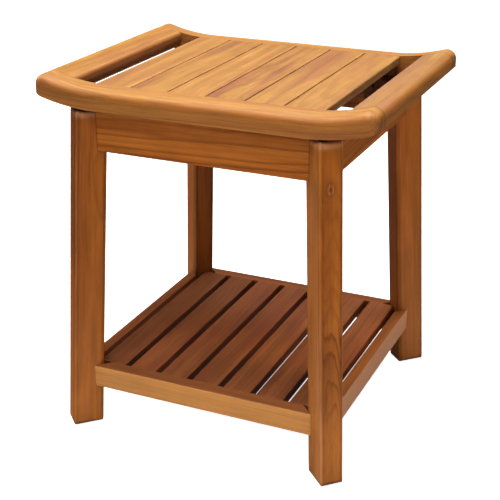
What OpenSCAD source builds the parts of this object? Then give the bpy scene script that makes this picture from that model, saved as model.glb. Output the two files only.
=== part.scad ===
// Slatted bench for a wet room: a saddle-shaped seat frame with a handle at each end, six seat
// slats, four splayed legs set at 45 degrees to the seat, and a slatted shelf near the floor.
// Origin on the floor under the middle of the seat. X runs from handle to handle, -Y is the
// front and +Z is up. All sizes are in millimetres.

/* [Overall size] */
// Length over the two handles
bench_length = 420; // [410:1:450]
// Depth over the front and back seat rails
bench_depth = 332; // [328:1:340]
// Height of the seat slats above the floor
seat_height = 440; // [400:5:500]

/* [Seat frame] */
// Thickness of the seat rails and the handles
frame_thick = 24.5; // [22:0.5:28]
// Width of the front and back seat rails
rail_width = 30; // [27:1:33]
// Width of each handle
handle_width = 40; // [34:1:44]
// Half length of the level middle of a seat rail
level_half = 127; // [118:1:134]
// Radius at which the top face of a seat rail curves up to its end
bend_radius = 235; // [200:5:400]
// Radius of the outer top edges and of the corners of the seat frame
outer_round = 12; // [8:1:14]
// Radius of the inner top edge of a handle
grip_top_round = 5; // [3:0.5:8]
// Radius of the inner lower edge of a handle, which the fingers close round
grip_under_round = 13.5; // [8:0.5:15]

/* [Seat slats] */
// Width of the open slot between each handle and the slats
hand_slot = 27.7; // [24:0.1:34]
// Thickness of a seat slat
seat_slat_thick = 10; // [8:0.5:12]
// Open joint between two seat slats
seat_joint = 1.5; // [1:0.5:3]

/* [Legs] */
// Width of a leg across the diagonal of the bench
leg_across = 30; // [28:0.5:32]
// Depth of a leg along the diagonal of the bench
leg_along = 39.5; // [36:0.5:41]
// Distance of the centre of a leg's top in from the outer face of a seat rail
leg_inset = 20; // [18:0.5:22]
// Angle at which a leg leans out along the diagonal
splay = 3.75; // [3:0.25:4]
// Radius of the four long edges of a leg
leg_edge_round = 6; // [3:0.5:8]
// Radius of the edges at the top of a leg
leg_top_round = 7; // [4:0.5:8]
// Radius of the edges at the foot of a leg
leg_foot_round = 6; // [3:0.5:7]

/* [Aprons] */
// Height of the front and back apron boards
apron_height = 51.5; // [44:0.5:60]
// Open gap above the left and right apron boards, which are that much lower
side_apron_gap = 8.5; // [2:0.5:12]
// Thickness of the apron boards
apron_thick = 15; // [13:0.5:16]
// Distance of an apron's outer face outside the centre of the leg
apron_out = 7.3; // [6:0.1:9]

/* [Shelf] */
// Height of the shelf's top face above the floor
shelf_height = 83; // [75:1:160]
// Height of the shelf rails
shelf_rail_height = 29; // [26:1:34]
// Thickness of the front and back shelf rails
shelf_rail_thick = 17; // [14:0.5:18]
// Thickness of the left and right shelf rails
shelf_side_thick = 14; // [12:0.5:16]
// Distance of a shelf rail's outer face outside the centre of the leg
shelf_out = 5.9; // [5:0.1:7]
// Open joint between two shelf slats
shelf_joint = 7.7; // [5:0.1:10]
// Open gap between a side rail and the shelf slat beside it
shelf_end_gap = 7; // [4:0.5:10]
// Thickness of a shelf slat
shelf_slat_thick = 11.5; // [8:0.5:11.5]

/* [Hidden] */

$fn = 64;
diagonal = sqrt(2);      // a diagonal distance, for each unit along X and Y
seat_fit = 0.15;         // clearance where one piece butts on another
bore_fit = 0.1;          // clearance round a screw, a bolt or a dowel, on the radius
past = 1;                // how far a cutter runs past the face that it cuts
reach = 60;              // size of the cutters that only have to be large enough
crease = 0.02;           // how far a rounded edge stands proud of a curved face where they meet
curve_facets = 180;      // facets of the large circles

// Seat frame levels
frame_under = seat_height - frame_thick;
half_length = bench_length / 2;
half_depth = bench_depth / 2;
rail_inner = half_depth - rail_width;
handle_inner = half_length - handle_width;
field_half = handle_inner - hand_slot;                   // half length of the field of slats
bend_top = seat_height + bend_radius;                    // height of the middle of each end's curve

// Height at x of a curve of radius r that is concentric with the top face and the underside
function curve_at(x, r) = bend_top - sqrt(pow(r, 2) - pow(x - level_half, 2));
function top_at(x) = curve_at(x, bend_radius);
function under_at(x) = curve_at(x, bend_radius + frame_thick);
function middle_at(x) = curve_at(x, bend_radius + frame_thick / 2);

// Centre, in X and Z, of an edge of radius r that is r away from an upright face, and touches
// the top face or the underside from within
function top_centre(x, r) = [x, curve_at(x, bend_radius + r)];
function under_centre(x, r) = [x, curve_at(x, bend_radius + frame_thick - r)];

// The same for the top edge at each end of the seat frame
end_centre = top_centre(half_length - outer_round, outer_round);

// Seat slats, and the cleats below their ends
seat_slats = 6;
seat_pitch = (2 * field_half + seat_joint) / seat_slats;
seat_slat_width = seat_pitch - seat_joint;
seat_slat_under = seat_height - seat_slat_thick;
slat_ease = 1.2;                                         // rounding of a slat's long edges
slat_arris = 0.5;                                        // and of a shelf slat's lower ones
field_ease = 2;                                          // rounding of the edge at a hand slot
cleat_width = 15;
cleat_short = 3;                                         // a cleat stops this far inside the slats
cleat_half = field_half - cleat_short;

function seat_slat_x(i) = (i - (seat_slats + 1) / 2) * seat_pitch;

// Legs
leg_top = frame_under;
lean = tan(splay);
foot_reach = (half_depth - leg_inset) * diagonal + leg_top * lean;  // foot's centre, on the diagonal

function leg_reach(z) = foot_reach - z * lean;           // leg's centre along the diagonal
function leg_inner(z) = leg_reach(z) - leg_along / 2;    // leg's inner face along the diagonal
function leg_offset(z) = leg_reach(z) / diagonal;        // leg's centre from a middle plane

// Aprons and their corner blocks
apron_under = frame_under - apron_height;
apron_mid = frame_under - apron_height / 2;
apron_outer = leg_offset(apron_mid) + apron_out;
apron_inner = apron_outer - apron_thick;
block_gap = 6.5;                                         // space between a block and the leg
apron_block_thick = 16;
apron_block_out = leg_inner(apron_mid) - block_gap;
apron_block_in = apron_block_out - apron_block_thick;
apron_block_ease = 2;                                    // block stops this far above the apron's foot

// Shelf
shelf_under = shelf_height - shelf_rail_height;
shelf_mid = shelf_height - shelf_rail_height / 2;
shelf_outer = leg_offset(shelf_mid) + shelf_out;
shelf_inner_y = shelf_outer - shelf_rail_thick;          // inner faces of the front and back rails
shelf_inner_x = shelf_outer - shelf_side_thick;          // inner faces of the side rails
shelf_slats = 7;
shelf_pitch = (2 * (shelf_inner_x - shelf_end_gap) + shelf_joint) / shelf_slats;
shelf_slat_width = shelf_pitch - shelf_joint;
shelf_slat_under = shelf_height - shelf_slat_thick;
shelf_block_thick = 15;
shelf_block_ease = 1;                                    // block stops this far above the rails' foot
shelf_block_foot = shelf_under + shelf_block_ease;
shelf_bolt_z = (shelf_slat_under + shelf_block_foot) / 2;
shelf_block_out = leg_inner(shelf_bolt_z) - block_gap;
shelf_block_in = shelf_block_out - shelf_block_thick;
shelf_cleat_size = 12;
leg_clear = 1;                                           // gap between the outer slats and a leg
rail_ease = 1.5;                                         // rounding of the shelf rails' outer edges

// The wing of a shelf block reaches this far along the front and back rails
block_wing_x = shelf_block_in * diagonal - shelf_inner_y;
shelf_cleat_gap = 2;                                     // gap between a cleat's end and a block
shelf_cleat_half = block_wing_x - shelf_cleat_gap;

function shelf_slat_x(i) = (i - (shelf_slats + 1) / 2) * shelf_pitch;

// Hardware
bolt_radius = 3;
bolt_in_leg = 28;
bolt_tail = 9;                                           // bolt left proud of a block's inner face
washer_radius = 8;
washer_thick = 1.6;
nut_flats = 10;
nut_thick = 5;
screw_radius = 2;
screw_head_radius = 4;
screw_head_depth = 2.5;
point_radius = 0.5;                                      // blunt point of a screw or a bolt
nut_corner_cut = 0.2;                                    // flat left inside a nut's corner cut
dowel_radius = 4;

// ---------- outlines ----------

function unit(v) = v / norm(v);

// What is cut away to round the corner between the points before and after it
module corner_waste(before, corner, after, r) {
    u = unit(before - corner);
    v = unit(after - corner);
    half = acos(u * v) / 2;
    inward = unit(u + v);
    difference() {
        polygon([
            corner - inward * past, corner + u * r / tan(half),
            corner + inward * r / sin(half), corner + v * r / tan(half),
        ]);
        translate(corner + inward * r / sin(half)) circle(r);
    }
}

// An outline with straight sides and a radius for each corner, true arcs at the corners
module rounded_outline(points, radii) {
    n = len(points);
    difference() {
        polygon(points);
        for (i = [0 : n - 1])
            if (radii[i] > 0)
                corner_waste(points[(i + n - 1) % n], points[i], points[(i + 1) % n], radii[i]);
    }
}

// A rectangle from one corner to the other, radii given anticlockwise from the lower left
module rounded_box(low, high, radii) {
    rounded_outline([low, [high.x, low.y], high, [low.x, high.y]], radii);
}

// ---------- directions ----------

// Extrudes an outline in X and Z along Y, from y0 to y1
module along_y(y0, y1) {
    translate([0, y1, 0]) rotate([90, 0, 0]) linear_extrude(y1 - y0) children();
}

// Extrudes an outline in Y and Z along X, from x0 to x1
module along_x(x0, x1) {
    translate([x0, 0, 0]) rotate([90, 0, 90]) linear_extrude(x1 - x0) children();
}

// Extrudes an outline in X and Y along Z, from z0 to z1
module along_z(z0, z1) {
    translate([0, 0, z0]) linear_extrude(z1 - z0) children();
}

// Places what is drawn for the back right corner, with X out along the diagonal, at a corner
module at_corner(side_x, side_y) {
    mirror([side_x < 0 ? 1 : 0, 0, 0]) mirror([0, side_y < 0 ? 1 : 0, 0]) rotate(45) children();
}

module at_each_corner() {
    for (side_x = [-1, 1], side_y = [-1, 1]) at_corner(side_x, side_y) children();
}

// Mirrors what is drawn for +X (or +Y) to the given side
module on_x(side) {
    mirror([side < 0 ? 1 : 0, 0, 0]) children();
}

module on_y(side) {
    mirror([0, side < 0 ? 1 : 0, 0]) children();
}

// ---------- fasteners ----------

// A countersunk wood screw along +Z, its head's flat face at the origin
module wood_screw(length) {
    cylinder(r = screw_radius, h = length - screw_radius);
    cylinder(r1 = screw_head_radius, r2 = screw_radius, h = screw_head_depth);
    translate([0, 0, length - screw_radius]) cylinder(r1 = screw_radius, r2 = point_radius, h = screw_radius);
}

// The hole for it, open at the head's end
module screw_hole(length) {
    cylinder(r = screw_radius + bore_fit, h = length);
    translate([0, 0, -past])
        cylinder(r = screw_head_radius + bore_fit, h = past);
    cylinder(r1 = screw_head_radius + bore_fit, r2 = screw_radius + bore_fit, h = screw_head_depth);
}

module dowel(length) {
    cylinder(r = dowel_radius, h = length);
}

module dowel_hole(length) {
    cylinder(r = dowel_radius + bore_fit, h = length);
}

// ---------- seat frame ----------

// The saddle shape in X and Z: level in the middle, then curved up to both ends
module saddle_outline() {
    difference() {
        intersection() {
            translate([-half_length, frame_under]) square([bench_length, bend_top - frame_under]);
            union() {
                translate([-level_half, frame_under]) square([2 * level_half, bend_top - frame_under]);
                for (side = [-1, 1]) on_x(side) translate([level_half, bend_top])
                    circle(bend_radius + frame_thick, $fn = curve_facets);
            }
        }
        translate([-level_half, seat_height]) square([2 * level_half, bend_radius + past]);
        for (side = [-1, 1]) on_x(side) translate([level_half, bend_top])
            circle(bend_radius, $fn = curve_facets);
    }
}

// What is cut away to round an edge of the curved end, in X and Z, where it meets an upright face.
// side is the upright face's side of the centre, and up is 1 at the top face, -1 at the underside.
module curved_edge_waste(centre, r, side, up) {
    across = up * unit([level_half, bend_top] - centre);
    face = [side, 0];
    difference() {
        polygon([centre, centre + reach * across, centre + reach * (across + face),
            centre + reach * face]);
        translate(centre + crease * (across + face)) circle(r);
    }
}

// What rounds the outer top edge of the level part, in Y and Z
module edge_waste() {
    corner_waste([rail_inner, seat_height], [half_depth, seat_height],
        [half_depth, frame_under], outer_round);
}

// The same waste along half of the rail, first level and then up round the curve
module swept_edge_waste() {
    along_x(0, level_half) edge_waste();
    translate([level_half, 0, bend_top]) rotate([-90, 90, 0]) rotate_extrude(angle = -reach)
        translate([bend_top, 0]) rotate(90) edge_waste();
}

// What lies round the outer corner: a post with a ball on top is left standing in it
module corner_post_waste() {
    across = unit([level_half, bend_top] - end_centre);
    face = [1, 0];
    post = end_centre + crease * (across + face);
    post_y = half_depth - outer_round + crease;
    difference() {
        along_y(post_y, half_depth + past)
            polygon([
                [end_centre.x, frame_under - past], end_centre, end_centre + reach * across,
                end_centre + reach * (across + face), [end_centre.x + reach, frame_under - past],
            ]);
        translate([post.x, post_y, 0]) cylinder(r = outer_round, h = post.y);
        translate([post.x, post_y, post.y]) sphere(r = outer_round);
    }
}

// The back rail without its holes
module rail_blank() {
    difference() {
        along_y(rail_inner, half_depth) saddle_outline();
        for (side = [-1, 1]) on_x(side) {
            swept_edge_waste();
            along_y(rail_inner - past, half_depth + past)
                curved_edge_waste(end_centre, outer_round, 1, 1);
            corner_post_waste();
        }
    }
}

// Distances from the end face to the two dowels of a handle joint
handle_dowel_steps = [13, 27];
handle_dowel_in_rail = 16;
handle_dowel_in_handle = 18;

module at_handle_dowels() {
    for (side = [-1, 1], step = handle_dowel_steps)
        on_x(side) translate([half_length - step, 0, middle_at(half_length - step)]) children();
}

leg_dowel_in_leg = 20;
leg_dowel_in_rail = 14;
leg_dowel_x = leg_offset(leg_top);

module seat_rail(side) {
    color("peru") on_y(side) difference() {
        rail_blank();
        at_handle_dowels() translate([0, rail_inner - past, 0])
            rotate([-90, 0, 0]) dowel_hole(handle_dowel_in_rail + past + bore_fit);
        for (end = [-1, 1])
            translate([end * leg_dowel_x, leg_dowel_x, frame_under - past])
                dowel_hole(leg_dowel_in_rail + past + bore_fit);
        for (x = cleat_screw_x)
            translate([x, rail_inner - cleat_width, cleat_screw_z]) rotate([-90, 0, 0])
                screw_hole(cleat_screw_length + bore_fit);
    }
}

// Outline of the handle in X and Z: the end of the saddle, with a round edge at its outer top
// and two for the fingers
module handle_outline() {
    top_x = handle_inner + grip_top_round;
    under_x = handle_inner + grip_under_round;
    difference() {
        intersection() {
            saddle_outline();
            translate([handle_inner, frame_under]) square([handle_width, bend_top - frame_under]);
        }
        curved_edge_waste(end_centre, outer_round, 1, 1);
        curved_edge_waste(top_centre(top_x, grip_top_round), grip_top_round, -1, 1);
        curved_edge_waste(under_centre(under_x, grip_under_round), grip_under_round, -1, -1);
    }
}

module handle(side) {
    handle_half = rail_inner - seat_fit;
    color("peru") on_x(side) difference() {
        along_y(-handle_half, handle_half) handle_outline();
        at_handle_dowels() for (end = [-1, 1]) on_y(end)
            translate([0, rail_inner - handle_dowel_in_handle - bore_fit, 0])
                rotate([-90, 0, 0]) dowel_hole(handle_dowel_in_handle + past);
    }
}

module handle_dowels() {
    color("tan") at_handle_dowels() for (end = [-1, 1]) on_y(end)
        translate([0, rail_inner - handle_dowel_in_handle, 0]) rotate([-90, 0, 0])
            dowel(handle_dowel_in_handle + handle_dowel_in_rail);
}

// ---------- seat slats and what carries them ----------

slat_screw_y = rail_inner - cleat_width / 2;
slat_screw_length = 21;
cleat_screw_x = [-2 * seat_pitch, 0, 2 * seat_pitch];
cleat_screw_z = (frame_under + seat_slat_under) / 2;
cleat_screw_length = 30;

module at_seat_slat_screws() {
    for (i = [1 : seat_slats], side = [-1, 1])
        translate([seat_slat_x(i), side * slat_screw_y, frame_under]) children();
}

// The two slats beside the hand slots have a softer outer edge
module seat_slat(i) {
    half = seat_slat_width / 2;
    left = i == 1 ? field_ease : slat_ease;
    right = i == seat_slats ? field_ease : slat_ease;
    color("sandybrown") difference() {
        along_y(seat_fit - rail_inner, rail_inner - seat_fit)
            translate([seat_slat_x(i), 0])
                rounded_box([-half, seat_slat_under], [half, seat_height],
                    [slat_ease, slat_ease, right, left]);
        at_seat_slat_screws() screw_hole(slat_screw_length + bore_fit);
    }
}

module seat_cleat(side) {
    color("sienna") on_y(side) difference() {
        along_x(-cleat_half, cleat_half)
            rounded_box([rail_inner - cleat_width, frame_under + seat_fit],
                [rail_inner - seat_fit, seat_slat_under - seat_fit], [slat_ease, 0, 0, slat_ease]);
        for (i = [1 : seat_slats])
            translate([seat_slat_x(i), slat_screw_y, frame_under])
                screw_hole(slat_screw_length + bore_fit);
        for (x = cleat_screw_x)
            translate([x, rail_inner - cleat_width, cleat_screw_z]) rotate([-90, 0, 0])
                screw_hole(cleat_screw_length);
    }
}

module seat_slat_screws() {
    color("silver") at_seat_slat_screws() wood_screw(slat_screw_length);
}

module seat_cleat_screws() {
    color("silver") for (side = [-1, 1], x = cleat_screw_x) on_y(side)
        translate([x, rail_inner - cleat_width, cleat_screw_z]) rotate([-90, 0, 0])
            wood_screw(cleat_screw_length);
}

// ---------- legs ----------

// A leg in its own frame: X out along the diagonal, so that its inner face looks at the middle
module leg_body() {
    half = leg_across / 2;
    foot = [leg_reach(0), 0];
    top = [leg_reach(leg_top), leg_top];
    deep = [leg_along / 2, 0];
    difference() {
        along_y(-half, half)
            rounded_outline([foot - deep, foot + deep, top + deep, top - deep],
                [leg_foot_round, leg_foot_round, leg_top_round, leg_top_round]);
        // edges of the foot and the top that run along the diagonal
        for (side = [-1, 1]) on_y(side) along_x(0, foot_reach + reach) {
            corner_waste([0, 0], [half, 0], [half, leg_top], leg_foot_round);
            corner_waste([half, 0], [half, leg_top], [0, leg_top], leg_top_round);
        }
        // the four long edges, which lean with the leg
        translate([foot_reach, 0, 0]) rotate([0, -splay, 0])
            for (side = [-1, 1], face = [-1, 1]) on_y(side) on_x(face)
                along_z(-reach, leg_top + reach) {
                    depth = leg_along / 2 * cos(splay);
                    corner_waste([0, half], [depth, half], [depth, 0], leg_edge_round);
                }
    }
}

// Bolt holes run out along the diagonal from the leg's inner face
module leg_bolt_hole(z) {
    translate([leg_inner(z) - reach, 0, z]) rotate([0, 90, 0])
        cylinder(r = bolt_radius + bore_fit, h = reach + bolt_in_leg + bore_fit);
}

module leg(side_x, side_y) {
    color("chocolate") at_corner(side_x, side_y) difference() {
        leg_body();
        leg_bolt_hole(apron_mid);
        leg_bolt_hole(shelf_bolt_z);
        translate([leg_reach(leg_top), 0, leg_top - leg_dowel_in_leg - bore_fit])
            dowel_hole(leg_dowel_in_leg + past + bore_fit);
    }
}

module leg_dowels() {
    color("tan") at_each_corner()
        translate([leg_reach(leg_top), 0, leg_top - leg_dowel_in_leg])
            dowel(leg_dowel_in_leg + leg_dowel_in_rail);
}

// A strip as wide as a leg, all along the diagonal: boards that butt on a leg end at its sides
module leg_strips() {
    at_each_corner() translate([0, -leg_across / 2 - seat_fit, -past])
        cube([2 * foot_reach, leg_across + 2 * seat_fit, seat_height]);
}

// ---------- aprons ----------

// Boards stop inside the strip that a leg's width marks along the diagonal
strip_entry = 2;                                         // how far an uncut board runs into it
function board_half(outer) = outer - (leg_across / 2 + seat_fit) * diagonal + strip_entry;

// An apron board with its outer face at +Y
module apron_board(top) {
    difference() {
        along_x(-board_half(apron_outer), board_half(apron_outer))
            rounded_box([apron_inner, apron_under], [apron_outer, top], [slat_ease, rail_ease, 0, 0]);
        leg_strips();
    }
}

module long_apron(side) {
    color("saddlebrown") on_y(side) difference() {
        apron_board(frame_under);
        at_each_corner() apron_block_screw_holes();
    }
}

module side_apron(side) {
    color("saddlebrown") on_x(side) difference() {
        rotate(-90) apron_board(frame_under - side_apron_gap);
        at_each_corner() apron_block_screw_holes();
    }
}

// A corner block stands between two boards: its ends lie on their inner faces.
// The boards' inner faces are inner_x and inner_y from the middle planes.
module block_outline(near, far, inner_x, inner_y) {
    wing_y = (inner_y - seat_fit) * diagonal;
    wing_x = (inner_x - seat_fit) * diagonal;
    polygon([[near, near - wing_x], [far, far - wing_x], [far, wing_y - far], [near, wing_y - near]]);
}

// Screws go square into a board through the block's wing, from a flat-bottomed pocket.
// The X axis of the children is the block's diagonal, side 1 is the board across +Y.
block_screw_length = 22;
block_screw_bite = 10;                                   // how deep a screw goes into the board

module at_block_screw(near, inner, z, step, side) {
    // the pocket's floor lies on the line where the screw leaves the inner face
    head = inner + block_screw_bite - block_screw_length;
    along = near * diagonal - head - step;
    rotate(-45) if (side > 0) {
        translate([along, head, z]) rotate([-90, 0, 0]) children();
    } else {
        translate([head, along, z]) rotate([0, 90, 0]) children();
    }
}

apron_screw_rise = 14;                                   // screws above and below the bolt
apron_screw_step = -5;                                   // and along the board, past the block's face

module at_apron_block_screws() {
    for (side = [-1, 1], z = [apron_mid - apron_screw_rise, apron_mid + apron_screw_rise])
        at_block_screw(apron_block_in, apron_inner, z, apron_screw_step, side) children();
}

module pocket_and_hole(length) {
    screw_hole(length);
    translate([0, 0, -reach / 2]) cylinder(r = screw_head_radius + bore_fit, h = reach / 2);
}

module apron_block_screw_holes() {
    at_apron_block_screws() pocket_and_hole(block_screw_length + bore_fit);
}

module apron_block(side_x, side_y) {
    color("burlywood") at_corner(side_x, side_y) difference() {
        along_z(apron_under + apron_block_ease, frame_under - seat_fit)
            block_outline(apron_block_in, apron_block_out, apron_inner, apron_inner);
        leg_bolt_hole(apron_mid);
        apron_block_screw_holes();
    }
}

module apron_block_screws() {
    color("silver") at_each_corner() at_apron_block_screws() wood_screw(block_screw_length);
}

// ---------- bolts ----------

// A hanger bolt from its tail beyond the block's inner face to its tip in the leg
module hanger_bolt(near, z) {
    length = leg_inner(z) + bolt_in_leg - (near - bolt_tail);
    translate([near - bolt_tail, 0, z]) rotate([0, 90, 0]) {
        cylinder(r = bolt_radius, h = length - bolt_radius);
        translate([0, 0, length - bolt_radius])
            cylinder(r1 = bolt_radius, r2 = point_radius, h = bolt_radius);
    }
}

module washer(near, z) {
    translate([near - washer_thick, 0, z]) rotate([0, 90, 0]) difference() {
        cylinder(r = washer_radius, h = washer_thick);
        translate([0, 0, -past]) cylinder(r = bolt_radius + bore_fit, h = washer_thick + 2 * past);
    }
}

module nut(near, z) {
    translate([near - washer_thick - nut_thick, 0, z]) rotate([0, 90, 0]) difference() {
        intersection() {
            cylinder(r = nut_flats / sqrt(3), h = nut_thick, $fn = 6);
            cylinder(r1 = nut_flats / 2 + nut_corner_cut, r2 = nut_flats / 2 + nut_thick,
                h = nut_thick);
        }
        translate([0, 0, -past]) cylinder(r = bolt_radius + bore_fit, h = nut_thick + 2 * past);
    }
}

module apron_bolts() {
    color("silver") at_each_corner() hanger_bolt(apron_block_in, apron_mid);
}

module apron_washers() {
    color("silver") at_each_corner() washer(apron_block_in, apron_mid);
}

module apron_nuts() {
    color("silver") at_each_corner() nut(apron_block_in, apron_mid);
}

module shelf_bolts() {
    color("silver") at_each_corner() hanger_bolt(shelf_block_in, shelf_bolt_z);
}

module shelf_washers() {
    color("silver") at_each_corner() washer(shelf_block_in, shelf_bolt_z);
}

module shelf_nuts() {
    color("silver") at_each_corner() nut(shelf_block_in, shelf_bolt_z);
}

// ---------- shelf ----------

shelf_screw_bite = 9;                                    // how deep a screw goes into a side rail
shelf_screw_sink = 1;                                    // how far a head is let into a block
shelf_screw_gap = 0.5;                                   // clearance between the heads of two screws
shelf_block_screw_length = 17;
shelf_slat_screw_y = shelf_inner_y - shelf_cleat_size / 2;
shelf_slat_bite = 7;                                     // how deep a screw goes into a shelf slat
shelf_slat_screw_length = shelf_cleat_size + shelf_slat_bite;
shelf_cleat_under = shelf_slat_under - shelf_cleat_size;
shelf_cleat_screw_x = [-1.5 * shelf_pitch, 1.5 * shelf_pitch];
shelf_cleat_screw_z = (shelf_cleat_under + shelf_slat_under) / 2;
shelf_cleat_screw_length = 22;

module shelf_board(thick) {
    difference() {
        along_x(-board_half(shelf_outer), board_half(shelf_outer))
            rounded_box([shelf_outer - thick, shelf_under], [shelf_outer, shelf_height],
                [0, rail_ease, rail_ease, 0]);
        leg_strips();
    }
}

// Side 1 is the screw into the long rail, which keeps clear of the screw up into the outer slat
module shelf_block_screw_at(side) {
    face = shelf_block_in * diagonal + shelf_screw_sink;
    side_head = shelf_inner_x + shelf_screw_bite - shelf_block_screw_length;
    long_x = shelf_slat_x(shelf_slats) - 2 * screw_head_radius - shelf_screw_gap;
    rotate(-45) if (side > 0) {
        translate([long_x, face - long_x, shelf_bolt_z]) rotate([-90, 0, 0]) children();
    } else {
        translate([side_head, face - side_head, shelf_bolt_z]) rotate([0, 90, 0]) children();
    }
}

module shelf_block_screw_holes() {
    for (side = [-1, 1])
        shelf_block_screw_at(side) pocket_and_hole(shelf_block_screw_length + bore_fit);
}

module shelf_long_rail(side) {
    color("burlywood") on_y(side) difference() {
        shelf_board(shelf_rail_thick);
        at_each_corner() shelf_block_screw_holes();
        for (x = shelf_cleat_screw_x)
            translate([x, shelf_inner_y - shelf_cleat_size, shelf_cleat_screw_z])
                rotate([-90, 0, 0]) screw_hole(shelf_cleat_screw_length + bore_fit);
    }
}

module shelf_side_rail(side) {
    color("burlywood") on_x(side) difference() {
        rotate(-90) shelf_board(shelf_side_thick);
        at_each_corner() shelf_block_screw_holes();
    }
}

module at_shelf_slat_screws() {
    for (i = [1 : shelf_slats], side = [-1, 1])
        translate([shelf_slat_x(i), side * shelf_slat_screw_y, shelf_cleat_under]) children();
}

// The two outer slats are cut back where a leg's inner face crosses their corners
module shelf_slat(i) {
    half = shelf_slat_width / 2;
    clear = leg_inner(shelf_height) - leg_clear;
    color("sienna") difference() {
        along_y(seat_fit - shelf_inner_y, shelf_inner_y - seat_fit)
            translate([shelf_slat_x(i), 0])
                rounded_box([-half, shelf_slat_under], [half, shelf_height],
                    [slat_arris, slat_arris, slat_ease, slat_ease]);
        at_each_corner() translate([clear, -reach, 0]) cube([reach, 2 * reach, seat_height]);
        at_shelf_slat_screws() screw_hole(shelf_slat_screw_length + bore_fit);
    }
}

module shelf_cleat(side) {
    color("sienna") on_y(side) difference() {
        along_x(-shelf_cleat_half, shelf_cleat_half)
            rounded_box([shelf_inner_y - shelf_cleat_size, shelf_cleat_under],
                [shelf_inner_y - seat_fit, shelf_slat_under - seat_fit],
                [slat_ease, 0, 0, slat_ease]);
        at_shelf_slat_screws() screw_hole(shelf_slat_screw_length);
        for (x = shelf_cleat_screw_x)
            translate([x, shelf_inner_y - shelf_cleat_size, shelf_cleat_screw_z])
                rotate([-90, 0, 0]) screw_hole(shelf_cleat_screw_length);
    }
}

module shelf_block(side_x, side_y) {
    color("burlywood") difference() {
        at_corner(side_x, side_y) difference() {
            along_z(shelf_block_foot, shelf_slat_under - seat_fit)
                block_outline(shelf_block_in, shelf_block_out, shelf_inner_x, shelf_inner_y);
            leg_bolt_hole(shelf_bolt_z);
            shelf_block_screw_holes();
        }
        at_shelf_slat_screws() pocket_and_hole(shelf_slat_screw_length);
    }
}

module shelf_block_screws() {
    color("silver") at_each_corner() for (side = [-1, 1])
        shelf_block_screw_at(side) wood_screw(shelf_block_screw_length);
}

module shelf_cleat_screws() {
    color("silver") for (side = [-1, 1], x = shelf_cleat_screw_x) on_y(side)
        translate([x, shelf_inner_y - shelf_cleat_size, shelf_cleat_screw_z])
            rotate([-90, 0, 0]) wood_screw(shelf_cleat_screw_length);
}

module shelf_slat_screws() {
    color("silver") at_shelf_slat_screws() wood_screw(shelf_slat_screw_length);
}

// ---------- the nodes ----------

seat_rail(-1);  // seat_rail_front
seat_rail(1);  // seat_rail_back
handle(-1);  // handle_left
handle(1);  // handle_right
seat_slat(1);  // seat_slat_1
seat_slat(2);  // seat_slat_2
seat_slat(3);  // seat_slat_3
seat_slat(4);  // seat_slat_4
seat_slat(5);  // seat_slat_5
seat_slat(6);  // seat_slat_6
seat_cleat(-1);  // seat_cleat_front
seat_cleat(1);  // seat_cleat_back
leg(-1, -1);  // leg_front_left
leg(1, -1);  // leg_front_right
leg(-1, 1);  // leg_back_left
leg(1, 1);  // leg_back_right
long_apron(-1);  // apron_front
long_apron(1);  // apron_back
side_apron(-1);  // apron_left
side_apron(1);  // apron_right
apron_block(-1, -1);  // apron_block_front_left
apron_block(1, -1);  // apron_block_front_right
apron_block(-1, 1);  // apron_block_back_left
apron_block(1, 1);  // apron_block_back_right
shelf_long_rail(-1);  // shelf_rail_front
shelf_long_rail(1);  // shelf_rail_back
shelf_side_rail(-1);  // shelf_rail_left
shelf_side_rail(1);  // shelf_rail_right
shelf_slat(1);  // shelf_slat_1
shelf_slat(2);  // shelf_slat_2
shelf_slat(3);  // shelf_slat_3
shelf_slat(4);  // shelf_slat_4
shelf_slat(5);  // shelf_slat_5
shelf_slat(6);  // shelf_slat_6
shelf_slat(7);  // shelf_slat_7
shelf_cleat(-1);  // shelf_cleat_front
shelf_cleat(1);  // shelf_cleat_back
shelf_block(-1, -1);  // shelf_block_front_left
shelf_block(1, -1);  // shelf_block_front_right
shelf_block(-1, 1);  // shelf_block_back_left
shelf_block(1, 1);  // shelf_block_back_right
apron_bolts();
apron_washers();
apron_nuts();
shelf_bolts();
shelf_washers();
shelf_nuts();
apron_block_screws();
shelf_block_screws();
seat_cleat_screws();
seat_slat_screws();
shelf_cleat_screws();
shelf_slat_screws();
handle_dowels();
leg_dowels();
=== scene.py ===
"""Teak shower bench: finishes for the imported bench, and the studio it stands in."""

import math

import bpy
import numpy as np
from mathutils import Matrix, Vector


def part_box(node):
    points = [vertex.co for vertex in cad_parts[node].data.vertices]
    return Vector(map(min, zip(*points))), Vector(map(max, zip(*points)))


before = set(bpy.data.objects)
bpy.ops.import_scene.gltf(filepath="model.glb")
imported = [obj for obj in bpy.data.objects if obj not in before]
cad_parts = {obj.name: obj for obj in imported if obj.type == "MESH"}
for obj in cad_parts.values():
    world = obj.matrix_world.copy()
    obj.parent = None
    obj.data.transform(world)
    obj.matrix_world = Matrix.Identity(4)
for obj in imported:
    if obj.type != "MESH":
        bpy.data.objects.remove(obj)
bpy.context.view_layer.update()

bl_info = {
    "name": "Teak Shower Bench",
    "version": (1, 0, 0),
    "blender": (4, 5, 0),
    "location": "3D View > Sidebar > Bench",
    "description": "Oiled teak, steel fasteners and a soft studio for a slatted shower bench",
    "category": "Object",
}

MM = 0.001
X, Y, Z = (1, 0, 0), (0, 1, 0), (0, 0, 1)


def tone(red, green, blue):
    """A screen colour from 0 to 255 as the linear colour that Blender's sockets take: a share up
    to 0.04045 is divided by 12.92, and a higher one goes through the sRGB power curve."""
    return tuple(
        c / 12.92 if c <= 0.04045 else ((c + 0.055) / 1.055) ** 2.4
        for c in (red / 255, green / 255, blue / 255)
    )


# ---------- shader trees ----------


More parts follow.
